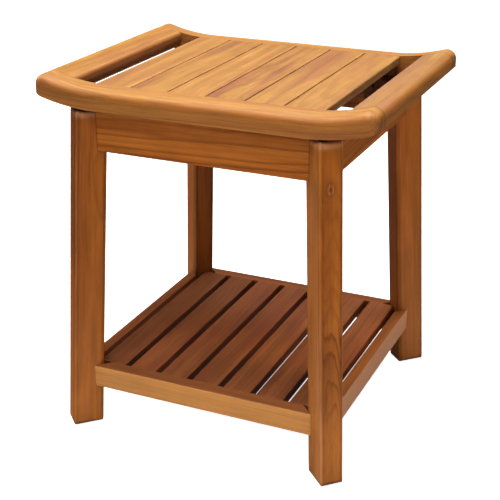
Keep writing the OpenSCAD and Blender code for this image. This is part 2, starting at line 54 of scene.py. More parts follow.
class Value:
    """A number socket of a shader tree: sums, differences, products and quotients of it add Math
    nodes."""

    def __init__(self, tree, socket):
        self.tree, self.socket = tree, socket

    def math(self, operation, *others):
        return self.tree.math(operation, self, *others)

    def __add__(self, other):
        return self.math("ADD", other)

    __radd__ = __add__

    def __sub__(self, other):
        return self.math("SUBTRACT", other)

    def __rsub__(self, other):
        return self.tree.math("SUBTRACT", other, self)

    def __mul__(self, other):
        return self.math("MULTIPLY", other)

    __rmul__ = __mul__

    def __truediv__(self, other):
        return self.math("DIVIDE", other)

    def __rtruediv__(self, other):
        return self.tree.math("DIVIDE", other, self)

    def __neg__(self):
        return self.math("MULTIPLY", -1.0)

    def __abs__(self):
        return self.math("ABSOLUTE")

    def least(self, other):
        """The lower of the two."""
        return self.math("MINIMUM", other)

    def most(self, other):
        """The higher of the two."""
        return self.math("MAXIMUM", other)

    def rise(self, low, high):
        """0 at low, 1 at high, a smooth step between them and level past both. With low above
        high it runs the other way."""
        return self.tree.value(
            "ShaderNodeMapRange",
            "Result",
            {"interpolation_type": "SMOOTHSTEP"},
            Value=self,
            From_Min=low,
            From_Max=high,
            To_Min=0.0,
            To_Max=1.0,
        )

    def fall(self, low, high):
        """1 at low, 0 at high, a smooth step between them and level past both."""
        return 1 - self.rise(low, high)


class Tree:
    """A material's node tree, filled from Python."""

    def __init__(self, name):
        self.material = bpy.data.materials.new(name)
        self.material.use_nodes = True
        self.nodes = self.material.node_tree.nodes
        self.links = self.material.node_tree.links
        self.nodes.clear()

    def put(self, socket, value):
        """Links a value to a socket, or sets it there when it is the same all over."""
        if isinstance(value, Value):
            value = value.socket
        if isinstance(value, bpy.types.NodeSocket):
            self.links.new(value, socket)
        elif socket.type == "RGBA" and len(value) == 3:
            socket.default_value = (*value, 1.0)
        else:
            socket.default_value = value

    def node(self, kind, settings=None, **sockets):
        """Adds a node: its settings first, then its sockets, an underscore standing for a space."""
        made = self.nodes.new(kind)
        for key, setting in (settings or {}).items():
            setattr(made, key, setting)
        for key, value in sockets.items():
            name = key.replace("_", " ")
            self.put(next(s for s in made.inputs if s.name == name and s.enabled), value)
        return made

    def out(self, made, name):
        """The output of a node that has this name."""
        return next(s for s in made.outputs if s.name == name and s.enabled)

    def value(self, kind, output, settings=None, **sockets):
        """Adds a node, and gives one of its outputs as a number."""
        return Value(self, self.out(self.node(kind, settings, **sockets), output))

    def math(self, operation, *values):
        """Adds a Math node on one or two numbers."""
        made = self.nodes.new("ShaderNodeMath")
        made.operation = operation
        for socket, value in zip(made.inputs, values):
            self.put(socket, value)
        return Value(self, made.outputs[0])

    def vector(self, operation, first, second, output="Vector"):
        """Adds a Vector Math node on two vectors or colours."""
        made = self.nodes.new("ShaderNodeVectorMath")
        made.operation = operation
        self.put(made.inputs[0], first)
        self.put(made.inputs[1], second)
        return self.out(made, output)

    def joined(self, x, y, z):
        """Three numbers as one vector."""
        return self.out(self.node("ShaderNodeCombineXYZ", X=x, Y=y, Z=z), "Vector")

    def mix(self, amount, first, second):
        """A colour that goes from the first to the second as amount goes from 0 to 1."""
        made = self.node(
            "ShaderNodeMix", {"data_type": "RGBA"}, Factor=amount, A=first, B=second
        )
        return self.out(made, "Result")

    def noise(self, vector, stretch, detail=2.0, rough=0.5, twist=0.0):
        """Noise from 0 to 1 on coordinates in millimetres, its cells as large as stretch."""
        scaled = self.vector("MULTIPLY", vector, tuple(1 / s for s in stretch))
        return self.value(
            "ShaderNodeTexNoise",
            "Fac",
            {"noise_dimensions": "3D"},
            Vector=scaled,
            Scale=1.0,
            Detail=detail,
            Roughness=rough,
            Distortion=twist,
        )

    def finish(self, surface):
        """Gives the material its surface shader."""
        end = self.nodes.new("ShaderNodeOutputMaterial")
        self.links.new(self.out(surface, "BSDF"), end.inputs["Surface"])
        return self.material


# ---------- wood ----------


class Board:
    """Where a piece of wood lies: its centre, its grain, width and thickness directions, and its
    half sizes along these, all in millimetres. The width direction is what is left of across once
    its part along the grain is taken off, and the thickness direction is square to both."""

    def __init__(self, centre, along, across, half):
        self.along = Vector(along).normalized()
        self.across = (
            Vector(across) - Vector(across).dot(self.along) * self.along
        ).normalized()
        self.through = self.along.cross(self.across)
        self.centre, self.half = Vector(centre), half


def board_of(node, along, across):
    """The board that a square-cut node is: its half sizes are half its box's, along the axes."""
    low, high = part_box(node)
    spread = (high - low) / 2 / MM
    axes = (Vector(along), Vector(across), Vector(along).cross(Vector(across)))
    half = [sum(abs(axis[i]) * spread[i] for i in range(3)) for axis in axes]
    return Board((low + high) / 2 / MM, along, across, half)


# the axes of a board, in the order of its half sizes and of a limit's first number
ALONG, ACROSS, THROUGH = 0, 1, 2

# the saddle rails, in mm: half the level part, radius of the top face past it, height of the level
# top face, thickness, and the share of the rise that the grain follows
SADDLE_LEVEL, SADDLE_RADIUS, SADDLE_TOP, SADDLE_THICK = 127.0, 235.0, 440.0, 24.5
SADDLE_FOLLOW = 0.55

# the wood's noise: cell size along, across and through in mm, then detail, roughness and twist
BEND = ((150, 34, 34), 2.0, 0.45)
SWAY = ((60, 15, 15), 2.0, 0.5)
BANDS = ((260, 11, 11), 2.0, 0.55, 0.3)
FIBRES = ((46, 1.5, 1.5), 4.0, 0.62)
FINE_FIBRES = ((17, 0.5, 0.5), 2.0, 0.6)
PORES = ((5.5, 0.42, 0.42), 1.0, 0.5)
CLOUDS = ((42, 16, 16), 2.0, 0.5)
WARMTH = ((190, 24, 24), 1.0, 0.4, 0.4)
SEED_STEP = (37.1, 11.7, 23.3)  # mm that each seed moves a board's place in the noise

# how far the grain wanders, in mm, and how far the rings sway within it
BEND_ACROSS, BEND_THROUGH, SWAY_THROUGH, RING_SWAY = 22, 9, 3, 1.2
RING_STEP = 0.43  # how fast the strength changes from ring to ring
LATE_FULL, LATE_FALLS = 0.86, (0.9, 1.0)  # where in a ring its dark line is full, then ends
PLAIN_RINGS = 0.25  # the rings' strength outside a board's arched part

# where a noise, or how far a surface faces up or along the grain, starts to show and is full;
# the share of facing up also places the painted light and shade on top faces
BANDS_SHOW, WARMTH_SHOWS, PORES_SHOW = (0.3, 0.7), (0.42, 0.68), (0.63, 0.76)
WEAR_SHOWS, END_SHOWS, TOP_SHADING_SHOWS = (0.25, 0.7), (0.6, 0.93), (0.45, 0.85)
# the painted highlight on the rounding where a face starts to turn up
LIP_HIGHLIGHT_RISES, LIP_HIGHLIGHT_FALLS = (0.35, 0.6), (0.8, 0.99)

# in mm from the second nearest face: where an edge is all worn and pale, partly as a painted
# highlight, and the painted shade beside the edge
EDGE_FULL, RIM_SHADE_RISES, RIM_SHADE_FALLS = 0.5, (2.4, 3.8), (4.2, 6.6)
SEAM_START, SEAM_FULL = 1.6, 0.5  # the dark joint at a board's end, in mm from the end

# shares that each part adds to brightness, to roughness and to height, and the bump in metres
FINE_STREAK, PORE_DARK = 0.2, 0.16
PORE_ROUGH, FINE_ROUGH, EDGE_ROUGH, END_ROUGH = 0.12, 0.12, 0.08, 0.12
FIBRE_HEIGHT, FINE_HEIGHT, PORE_DEPTH, RING_DEPTH, CLOUD_HEIGHT = 0.55, 0.3, 0.9, 0.25, 0.5
BUMP_STRENGTH, BUMP_DISTANCE = 0.32, 0.00022

# a knot: its length over its width, how far the rings swell round it, and the colours of its dark
# halo, pale ring and core, each with how much of it shows and where
KNOT_LENGTH, KNOT_SWELL = 1.6, 1.3
KNOT_HALO, HALO_SHARE, HALO_RISES = tone(104, 44, 14), 0.5, (0.02, 0.7)
KNOT_RING, RING_SHARE, RING_RISES, RING_FALLS = tone(214, 140, 78), 0.6, (0.5, 0.74), (0.8, 0.97)
KNOT_CORE, CORE_SHARE, CORE_RISES = tone(70, 30, 12), 0.45, (0.84, 0.99)
FLECKS_SHOW = (0.4, 0.62)  # the fibres that the pale ring shows on


def teak(name, board, look, settings, curved=False):
    """Oiled teak. Growth rings are the fractional part of the distance from a pith line, over the
    ring width, after slow noise has bent that distance; so a face shows arches where the line
    passes close below it, and near-straight stripes where it is far off. Broad bands, fibres and
    pores are noise drawn out along the grain. Edges are paler and rougher, partly as wear and
    partly as a painted highlight, ends are darker, and a painted shade lies beside a long edge.

    A look says how one board differs, with lengths in mm from its centre and with changes as shares
    of the wood's brightness. pith and tilt: where the pith line passes across and through, and its
    drift along the grain. rings, line, ring_share and figure: ring width, where in a ring its dark
    line starts, which rings show, and how strongly. arches: where along the board the rings rise
    from faint to full and fall back. knots: place along, place across and size of each, and the
    rings swell round it. red and blush: strength and colour of warm streaks. level: paler or darker
    all over. top_shading: painted light and shade on upward faces, what they gain in red, green and
    blue. lip_highlight: a painted highlight where a face starts to turn up. seam: the darkening at
    the joint at each end. shades add an amount, and fades go toward a colour by an amount, within
    their limits; many of them paint light and shade. A curved board is a saddle rail."""
    tree = Tree(name)
    place = tree.node("ShaderNodeTexCoord")
    turn = Matrix((board.along, board.across, board.through))
    local = tree.out(
        tree.node(
            "ShaderNodeMapping",
            {"vector_type": "POINT"},
            Vector=tree.out(place, "Object"),
            Location=-(turn @ board.centre),
            Rotation=turn.to_euler("XYZ"),
            Scale=(1 / MM,) * 3,
        ),
        "Vector",
    )
    split = tree.node("ShaderNodeSeparateXYZ", Vector=local)
    u, v, w = (Value(tree, socket) for socket in split.outputs)
    depth_u, depth_v = board.half[ALONG] - abs(u), board.half[ACROSS] - abs(v)
    if curved:
        # the saddle's rise above its level part, which the grain follows in part
        run = (abs(u) - SADDLE_LEVEL).most(0.0)
        rise = SADDLE_RADIUS - (SADDLE_RADIUS**2 - run * run).math("SQRT")
        centre_z = board.centre.z - SADDLE_TOP
        below_top = rise - (w if board.through.z > 0 else -w) - centre_z
        depth_w = below_top.least(SADDLE_THICK - below_top)
        w = w - SADDLE_FOLLOW * rise * (1 if board.through.z > 0 else -1)
        local = tree.joined(u, v, w)
    else:
        depth_w = board.half[THROUGH] - abs(w)
    seed = look["seed"]
    grained = tree.vector("ADD", local, tuple(seed * step for step in SEED_STEP))

    # slow wander of the grain
    bend = tree.noise(grained, *BEND) - 0.5
    sway = tree.noise(grained, *SWAY) - 0.5
    wander = look.get("wander", 1.0)
    pith_v, pith_w = look["pith"]
    tilt_v, tilt_w = look.get("tilt", (0.0, 0.02))
    from_v = v - pith_v - tilt_v * u + bend * (BEND_ACROSS * wander)
    from_w = w - pith_w - tilt_w * u + bend * (BEND_THROUGH * wander)
    from_w = from_w + sway * (SWAY_THROUGH * wander)
    reach = (from_v * from_v + from_w * from_w).math("SQRT")
    knots = []
    for knot_u, knot_v, size in look.get("knots", ()):
        du, dv = (u - knot_u) / (size * KNOT_LENGTH), (v - knot_v) / size
        near = (-(du * du + dv * dv)).math("EXPONENT")
        reach = reach + near * (size * KNOT_SWELL)
        knots.append(near)
    phase = (reach + sway * RING_SWAY) / look["rings"]
    part = phase.math("FRACT")
    late = part.rise(look.get("line", 0.15), LATE_FULL) * part.fall(*LATE_FALLS)
    each = tree.value(
        "ShaderNodeTexNoise",
        "Fac",
        {"noise_dimensions": "1D"},
        W=phase * RING_STEP + seed,
        Scale=1.0,
        Detail=1.0,
        Roughness=0.6,
    )
    late = late * each.rise(*look.get("ring_share", (0.3, 0.72)))
    if look.get("arches"):
        start, full, fading, faint = look["arches"]
        arched = u.rise(start, full) * u.fall(fading, faint)
        late = late * (PLAIN_RINGS + arched * (1 - PLAIN_RINGS))

    # bands, fibres, pores and blotches
    bands = tree.noise(grained, *BANDS)
    fibre = tree.noise(grained, *FIBRES)
    fine = tree.noise(grained, *FINE_FIBRES)
    pore = tree.noise(grained, *PORES).rise(*PORES_SHOW)
    cloud = tree.noise(grained, *CLOUDS)

    def facing(direction):
        """How far the surface faces a direction, from -1 to 1."""
        normal = tree.out(place, "Normal")
        return Value(tree, tree.vector("DOT_PRODUCT", normal, tuple(direction), "Value"))

    # end grain, where the surface looks along the grain
    end = abs(facing(board.along)).rise(*END_SHOWS)
    up = facing(Z)

    # worn edges, paler partly as wear and partly as a painted highlight: the second nearest face,
    # the middle one of the three depths, is close
    second = depth_w.least(depth_v).most(depth_w.most(depth_v).least(depth_u))
    edge = second.fall(EDGE_FULL, look.get("edge_width", 2.4)) * cloud.rise(*WEAR_SHOWS)
    # painted shade: a dark rim beside a long edge
    painted_rim_shade = second.rise(*RIM_SHADE_RISES) * second.fall(*RIM_SHADE_FALLS)

    def within(limits):
        """1 past every limit, where a limit is an axis and the two places it rises between."""
        part = 1.0
        for axis, start, stop in limits:
            part = (u, v, w)[axis].rise(start, stop) * part
        return part

    light, middle, deep = look["colours"]
    colour = tree.mix(bands.rise(*BANDS_SHOW), light, middle)
    if look.get("red"):
        warm = tree.noise(grained, *WARMTH).rise(*WARMTH_SHOWS)
        colour = tree.mix(warm * look["red"], colour, look["blush"])
    colour = tree.mix(late * look["figure"], colour, deep)
    # painted light and shade: upward faces are made lighter or darker, as light falls on them
    if look.get("top_shading"):
        risen = up.rise(*TOP_SHADING_SHOWS)
        gains = (1 + risen * (gain - 1) for gain in look["top_shading"])
        colour = tree.vector("MULTIPLY", colour, tree.joined(*gains))

    # brightness, which the colour is multiplied by
    streak = (fibre - 0.5) * look.get("fibre", 0.55) + (fine - 0.5) * FINE_STREAK
    streak = streak + (cloud - 0.5) * look.get("cloud", 0.22)
    lift = 1 + look.get("level", 0.0) + streak - pore * PORE_DARK * settings.pores
    # paler edges, as wear and as a painted highlight, and the painted dark rim beside them
    lift = lift + edge * look.get("edge_pale", 0.16) - painted_rim_shade * look.get("edge_dark", 0.0)
    lift = lift - end * look.get("end_dark", 0.26)
    # painted highlight where a face starts to turn up
    if look.get("lip_highlight"):
        lift = lift + up.rise(*LIP_HIGHLIGHT_RISES) * up.fall(*LIP_HIGHLIGHT_FALLS) * look["lip_highlight"]
    if look.get("seam"):
        tip = board.half[ALONG]
        lift = lift - abs(u).rise(tip - SEAM_START, tip - SEAM_FULL) * look["seam"]
    # many shades and fades paint light and shade: darker inner faces and gaps, shadows beneath
    # rails, lighter lower legs, glints and sheens
    for amount, *limits in look.get("shades", ()):
        lift = lift + within(limits) * amount
    for toward, amount, *limits in look.get("fades", ()):
        colour = tree.mix(within(limits) * amount, colour, toward)
    for near in knots:
        ring = near.rise(*RING_RISES) * near.fall(*RING_FALLS) * fibre.rise(*FLECKS_SHOW)
        colour = tree.mix(near.rise(*HALO_RISES) * HALO_SHARE, colour, KNOT_HALO)
        colour = tree.mix(ring * RING_SHARE, colour, KNOT_RING)
        colour = tree.mix(near.rise(*CORE_RISES) * CORE_SHARE, colour, KNOT_CORE)

    rough = look.get("rough", 0.43) / settings.gloss + pore * PORE_ROUGH
    rough = rough + (fine - 0.5) * FINE_ROUGH + edge * EDGE_ROUGH + end * END_ROUGH
    height = fibre * FIBRE_HEIGHT + fine * FINE_HEIGHT - pore * PORE_DEPTH
    height = height - late * RING_DEPTH + cloud * CLOUD_HEIGHT
    bump = tree.node(
        "ShaderNodeBump", Strength=BUMP_STRENGTH, Distance=BUMP_DISTANCE, Height=height
    )
    surface = tree.node(
        "ShaderNodeBsdfPrincipled",
        Base_Color=tree.vector("MULTIPLY", colour, tree.joined(lift, lift, lift)),
        Roughness=rough,
        Specular_IOR_Level=look.get("shine", 0.5),
        Coat_Weight=look.get("coat", 0.12),
        Coat_Roughness=look.get("coat_rough", 0.28),
        Normal=bump.outputs[0],
    )
    return tree.finish(surface)


# noise on the steel, as for the wood: dull spots, and the lines that turning leaves
DULL_SPOTS, TURNED_LINES = ((4, 4, 4), 3.0, 0.6), ((1.2, 1.2, 0.12), 2.0, 0.5)
DULL_STEEL, DULL_SHOWS = tone(112, 110, 105), (0.4, 0.75)
STEEL_ROUGH, DULL_ROUGH = 0.38, 0.18


def steel(name, settings):
    """Plated steel: noise makes a few spots duller and rougher, and noise drawn flat raises fine
    turning lines."""
    tree = Tree(name)
    place = tree.node("ShaderNodeTexCoord")
    local = tree.vector("MULTIPLY", tree.out(place, "Object"), (1 / MM,) * 3)
    dull = tree.noise(local, *DULL_SPOTS)
    lines = tree.noise(local, *TURNED_LINES)
    bump = tree.node("ShaderNodeBump", Strength=0.15, Distance=0.0001, Height=lines)
    surface = tree.node(
        "ShaderNodeBsdfPrincipled",
        Base_Color=tree.mix(dull.rise(*DULL_SHOWS), settings.steel, DULL_STEEL),
        Metallic=1.0,
        Roughness=STEEL_ROUGH + dull * DULL_ROUGH,
        Normal=bump.outputs[0],
    )
    return tree.finish(surface)


def dress(node, material):
    """Gives a node its material, in place of the one it came with."""
    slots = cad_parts[node].data.materials
    slots.clear()
    slots.append(material)


# ---------- settings ----------


def colour_setting(name, description, colour):
    """A colour that a user may change."""
    return bpy.props.FloatVectorProperty(
        name=name, description=description, subtype="COLOR", size=3, min=0.0, max=1.0,
        default=colour,
    )


def factor_setting(name, description, least):
    """A strength that is 1 and that a user may change, up to 2."""
    return bpy.props.FloatProperty(
        name=name, description=description, default=1.0, min=least, max=2.0, subtype="FACTOR"
    )


def power_setting(name, description, watts):
    """The power of a light, in watts."""
    return bpy.props.FloatProperty(
        name=name, description=description, default=watts, min=0.0, unit="POWER"
    )


class BENCH_PG_wood(bpy.types.PropertyGroup):
    """Colours and finish of the wood and the steel"""

    frame_light: colour_setting("Frame, pale", "Pale wood of the seat frame", tone(183, 115, 45))
    frame_middle: colour_setting(
        "Frame, middle", "Main colour of the seat frame", tone(165, 99, 39)
    )
    frame_deep: colour_setting("Frame, dark", "Rings of the seat frame", tone(124, 68, 22))
    handle_blush: colour_setting("Handle, blush", "Pink inner half of a handle", tone(174, 122, 92))
    seat_light: colour_setting("Seat, pale", "Pale wood of the seat slats", tone(190, 137, 71))
    seat_middle: colour_setting("Seat, middle", "Main colour of the seat slats", tone(171, 117, 65))
    seat_deep: colour_setting("Seat, dark", "Rings of the seat slats", tone(130, 83, 40))
    blush: colour_setting(
        "Blush", "Pink heartwood that runs through some boards", tone(170, 92, 52)
    )
    seat_blush: colour_setting("Seat, blush", "Pink streaks of the seat slats", tone(158, 97, 68))
    leg_light: colour_setting("Legs, pale", "Pale wood of the legs", tone(193, 108, 30))
    leg_middle: colour_setting("Legs, middle", "Main colour of the legs", tone(169, 90, 22))
    leg_deep: colour_setting("Legs, dark", "Rings of the legs", tone(129, 63, 12))
    # painted highlight: the colour of glints on a leg's rounded top and along its edges
    leg_glint: colour_setting(
        "Legs, glint", "Paler wood on a leg's top and edges", tone(214, 150, 104)
    )
    # painted light: the legs turn paler toward the feet, where the seat's shade thins
    leg_foot: colour_setting("Legs, foot", "Paler wood toward the feet", tone(196, 128, 66))
    apron_light: colour_setting("Aprons, pale", "Pale wood of the aprons", tone(199, 112, 32))
    apron_middle: colour_setting("Aprons, middle", "Main colour of the aprons", tone(171, 90, 22))
    apron_deep: colour_setting("Aprons, dark", "Rings of the aprons", tone(131, 64, 12))
    shelf_light: colour_setting("Shelf, pale", "Pale wood of the shelf slats", tone(171, 98, 51))
    shelf_middle: colour_setting(
        "Shelf, middle", "Main colour of the shelf slats", tone(145, 84, 44)
    )
    shelf_deep: colour_setting("Shelf, dark", "Rings of the shelf slats", tone(110, 58, 26))
    shelf_blush: colour_setting(
        "Shelf, blush", "Red streaks of the shelf slats", tone(136, 68, 44)
    )
    rail_light: colour_setting(
        "Shelf rail, pale", "Pale wood of the shelf's front rail", tone(227, 153, 75)
    )
    rail_middle: colour_setting(
        "Shelf rail, middle", "Main colour of the shelf's front rail", tone(207, 137, 66)
    )
    rail_deep: colour_setting(
        "Shelf rail, dark", "Rings of the shelf's front rail", tone(156, 95, 41)
    )
    # painted sheen: the pink that the right shelf rail's outer side takes on
    rail_side: colour_setting(
        "Shelf rail, side", "Pink outer side of the right rail", tone(181, 127, 90)
    )
    pores: factor_setting("Pores", "Strength of the open pores", 0.0)
    gloss: factor_setting("Gloss", "How smooth the oiled finish is", 0.5)
    steel: colour_setting("Steel", "Plated screws, bolts, washers and nuts", tone(150, 148, 143))


class BENCH_PG_stage(bpy.types.PropertyGroup):
    """The studio's floor, lights and lens"""

    floor: colour_setting("Floor", "Colour of the studio floor", (0.95, 0.95, 0.95))
    floor_glow: bpy.props.FloatProperty(
        name="Floor glow", description="Light that the white floor adds where the camera sees it",
        default=0.97, min=0.0, max=2.0,
    )
    overhead: power_setting("Overhead", "Power of the soft light above the seat", 17.6)
    front: power_setting("Front", "Power of the soft light above and in front", 23.4)
    back: power_setting("Back", "Power of the soft light above and behind", 22.3)
    left: power_setting("Left", "Power of the soft light on the left", 20.0)
    right: power_setting("Right", "Power of the soft light at the front right", 6.1)
    ambient: bpy.props.FloatProperty(
        name="Ambient", description="Strength of the white surroundings", default=0.03, min=0.0,
        max=2.0,
    )
    lens: bpy.props.FloatProperty(
        name="Lens", description="Focal length of the camera", default=80.94, min=10.0,
        unit="CAMERA",
    )


# ---------- the pieces ----------


def palette(wood, name):
    """The pale, middle and dark colours of a group of pieces."""
    return [getattr(wood, f"{name}_{shade}") for shade in ("light", "middle", "deep")]


def corner_name(side_x, side_y):
    """The corner on these sides, such as front_left."""
    return f"{'front' if side_y < 0 else 'back'}_{'left' if side_x < 0 else 'right'}"


class Maker(bpy.types.Operator):
    """Makes one group of the bench's pieces."""

    bl_options = {"REGISTER", "UNDO"}

    def execute(self, context):
        self.make(context.scene.bench_wood)
        return {"FINISHED"}


# painted light on the upward faces of the seat rails and of the two handles: what they gain in
# red, green and blue
RAIL_TOP_SHADING, HANDLE_TOP_SHADINGS = (1.15, 1.52, 2.6), ((1.14, 1.47, 1.8), (1.07, 1.5, 3.0))


class BENCH_OT_seat_frame(Maker):
    """Oiled teak on the two saddle rails and the two handles"""

    bl_idname = "bench.seat_frame"
    bl_label = "Seat Frame"

    def make(self, wood):
        colours = palette(wood, "frame")
        for i, node in enumerate(("seat_rail_front", "seat_rail_back")):
            board = board_of(node, X, Y)
            inner = (1, -1)[i] * board.half[ACROSS]
            # painted light on the top faces and a painted highlight at the lip; the outer face
            # darker toward its left end, and painted shade on the inner face
            look = dict(
                seed=1 + i, colours=colours, pith=(-70, 40), rings=3.4, figure=0.48,
                fibre=0.85, cloud=0.25, wander=0.6, red=0.3, blush=wood.blush, top_shading=RAIL_TOP_SHADING,
                line=0.3, lip_highlight=0.16, shine=0.25, rough=0.5, coat=0.03, coat_rough=0.3,
                end_dark=0.08, level=-0.02,
                shades=(
                    (-0.18, (ALONG, 60, -190), (ACROSS, -0.5 * inner, -0.85 * inner)),
                    (-0.25, (ACROSS, 0.86 * inner, 0.96 * inner)),
                ),
            )
            dress(node, teak(f"teak_{node}", board, look, wood, curved=True))
        for i, node in enumerate(("handle_left", "handle_right")):
            board = board_of(node, Y, X)
            inner = (1, -1)[i] * board.half[ACROSS]
            # painted light on the right handle's outer part, and the share of pink blush on the
            # inner half
            painted_outer_light, pink = (0, 0.22)[i], (0.15, 0.6)[i]
            look = dict(
                seed=5 + i, colours=colours, pith=(10, 90), rings=5.0, figure=0.3, level=-0.04,
                fibre=0.6, cloud=0.34, red=0.4, blush=wood.blush, top_shading=HANDLE_TOP_SHADINGS[i], lip_highlight=0.08,
                shine=0.4, coat_rough=0.2, seam=(0.15, 0.42)[i],
                # painted shade low on the inner face, beside the seat's slot, and the painted light
                # outside
                shades=(
                    (-0.6, (ACROSS, 0.7 * inner, 0.95 * inner), (THROUGH, -6, 9)),
                    (painted_outer_light, (ACROSS, -0.3 * inner, -0.8 * inner)),
                ),
                fades=((wood.handle_blush, pink, (ACROSS, 0.1 * inner, 0.5 * inner)),),
            )
            dress(node, teak(f"teak_{node}", board, look, wood))


class BENCH_OT_seat_slats(Maker):
    """Oiled teak on the six seat slats, each cut from its own board"""

    bl_idname = "bench.seat_slats"
    bl_label = "Seat Slats"

    def make(self, wood):
        colours = palette(wood, "seat")
        looks = (
            dict(pith=(60, -60), rings=5.2, figure=0.24, red=0.3),
            dict(pith=(-30, -48), rings=4.6, figure=0.3, red=0.9, tilt=(0.03, 0.05)),
            dict(pith=(80, -50), rings=6.0, figure=0.22, red=0.15),
            dict(pith=(-22, -40), rings=4.4, figure=0.5, red=1.0, tilt=(-0.03, 0.04)),
            dict(pith=(45, -70), rings=5.4, figure=0.3, red=0.6),
            dict(pith=(14, -52), rings=5.0, figure=0.36, red=0.25, tilt=(0.0, 0.06)),
        )
        for i, look in enumerate(looks):
            node = f"seat_slat_{i + 1}"
            board = board_of(node, Y, X)
            side = board.half[ACROSS]
            look.update(
                seed=11 + i, colours=colours, blush=wood.seat_blush, cloud=0.4, seam=0.15,
                level=(0.03, -0.02, 0.04, 0.01, 0.03, 0.03)[i],
                # painted shade on each slat's long sides, in the gaps between slats
                shades=(
                    (-0.3, (ACROSS, side - 1.0, side - 0.3)),
                    (-0.3, (ACROSS, 1.0 - side, 0.3 - side)),
                ),
            )
            dress(node, teak(f"teak_{node}", board, look, wood))


# a leg, in mm: how far out to each side its foot's and its top's centres are, its height, and
# half its section
LEG_FOOT, LEG_TOP, LEG_HEIGHT, LEG_SECTION = 165.26, 146.0, 415.5, (15.0, 19.75)


def leg_board(side_x, side_y):
    """A leg's board: its grain runs from the foot's centre to the centre of its top."""
    foot = Vector((side_x * LEG_FOOT, side_y * LEG_FOOT, 0.0))
    top = Vector((side_x * LEG_TOP, side_y * LEG_TOP, LEG_HEIGHT))
    across = Vector((-side_y, side_x, 0.0)) * (side_x * side_y)
    half = ((top - foot).length / 2, *LEG_SECTION)
    return Board((foot + top) / 2, top - foot, across, half)


class BENCH_OT_legs(Maker):
    """Oiled teak on the four splayed legs, with arched figure and a knot on one"""

    bl_idname = "bench.legs"
    bl_label = "Legs"

    def make(self, wood):
        colours = palette(wood, "leg")
        # each leg by its sides, with the shades and fades that only it has: painted light and shade
        # on its faces, painted glints along its edges, and a darker patch of ring colour
        looks = {
            (-1, -1): dict(
                pith=(60, 20), rings=4.2, figure=0.3, cloud=0.34, red=0.2, level=-0.17,
                # painted light on the lower leg, and painted shade along its upper left edge
                shaded=(
                    (0.1, (ALONG, 60, -180)),
                    (-0.24, (THROUGH, -16.5, -19.5), (ALONG, -20, 50)),
                ),
            ),
            (1, -1): dict(
                pith=(1, -20), rings=1.1, figure=0.9, tilt=(0.0, -0.036), line=0.45, wander=0.5,
                knots=((153, 1.5, 5.6),), cloud=0.42, ring_share=(0.1, 0.5),
                arches=(20, -25, -90, -135),
                # painted shade on the top of the left face, beneath the rail; the lower left face
                # darker toward its middle; the front face lighter near the foot
                shaded=(
                    (-0.16, (ACROSS, 12.5, 14.5), (ALONG, 110, 160)),
                    (-0.15, (ACROSS, 12.5, 14.8), (THROUGH, 9, -1), (ALONG, 60, -20)),
                    (0.07, (THROUGH, 14, 18), (ALONG, -110, -150)),
                ),
                # the left face paler toward the lower-leg light, as painted light; painted glints
                # along the left and right edges; a darker patch of ring colour low on the front
                # face
                glints_and_tints=(
                    (wood.leg_foot, 0.35, (ACROSS, 12.0, 15.0)),
                    (wood.leg_glint, 0.3, (ACROSS, 11, 14), (THROUGH, 9, 14), (ALONG, 40, -60)),
                    (wood.leg_glint, 0.7, (ACROSS, -12, -14), (THROUGH, 11, 15), (ALONG, 80, 0)),
                    (wood.leg_deep, 0.3, (THROUGH, 14, 18), (ALONG, 0, -35), (ALONG, -120, -95)),
                ),
            ),
            (-1, 1): dict(
                pith=(-50, 40), rings=4.0, figure=0.35, red=0.3, level=-0.09,
                # painted shade on the inner face
                shaded=((-0.3, (THROUGH, -15.0, -19.0)),),
            ),
            (1, 1): dict(
                pith=(70, -10), rings=4.6, figure=0.25, red=0.3, level=-0.03,
                # painted shade on the inner face
                shaded=((-0.32, (THROUGH, 15.0, 19.0)),),
            ),
        }
        for i, ((side_x, side_y), look) in enumerate(looks.items()):
            node = f"leg_{corner_name(side_x, side_y)}"
            board = leg_board(side_x, side_y)
            top = board.half[ALONG]
            # a painted dark rim beside each long edge, paler edges as wear and painted highlight
            look.update(
                seed=21 + i, colours=colours, blush=wood.blush, rough=0.42, shine=0.15,
                coat=0.3, coat_rough=0.12, edge_dark=0.26, edge_width=3.4, edge_pale=0.2,
                # painted shadow at the top, beneath the rail; painted shade at the foot's lower
                # edge; and painted light on the lower leg
                shades=(
                    (-0.6, (ALONG, top - 5.0, top - 2.5)),
                    (-0.5, (ALONG, 6.0 - top, 2.0 - top)),
                    (0.1, (ALONG, 60, -180)),
                    *look["shaded"],
                ),
                # a painted highlight on the rounded top, and painted light toward the feet
                fades=(
                    (wood.leg_glint, 0.55, (ALONG, top - 13.0, top - 7.0)),
                    (wood.leg_foot, 0.3, (ALONG, 60, -200)),
                    *look.get("glints_and_tints", ()),
                ),
            )
            dress(node, teak(f"teak_{node}", board, look, wood))


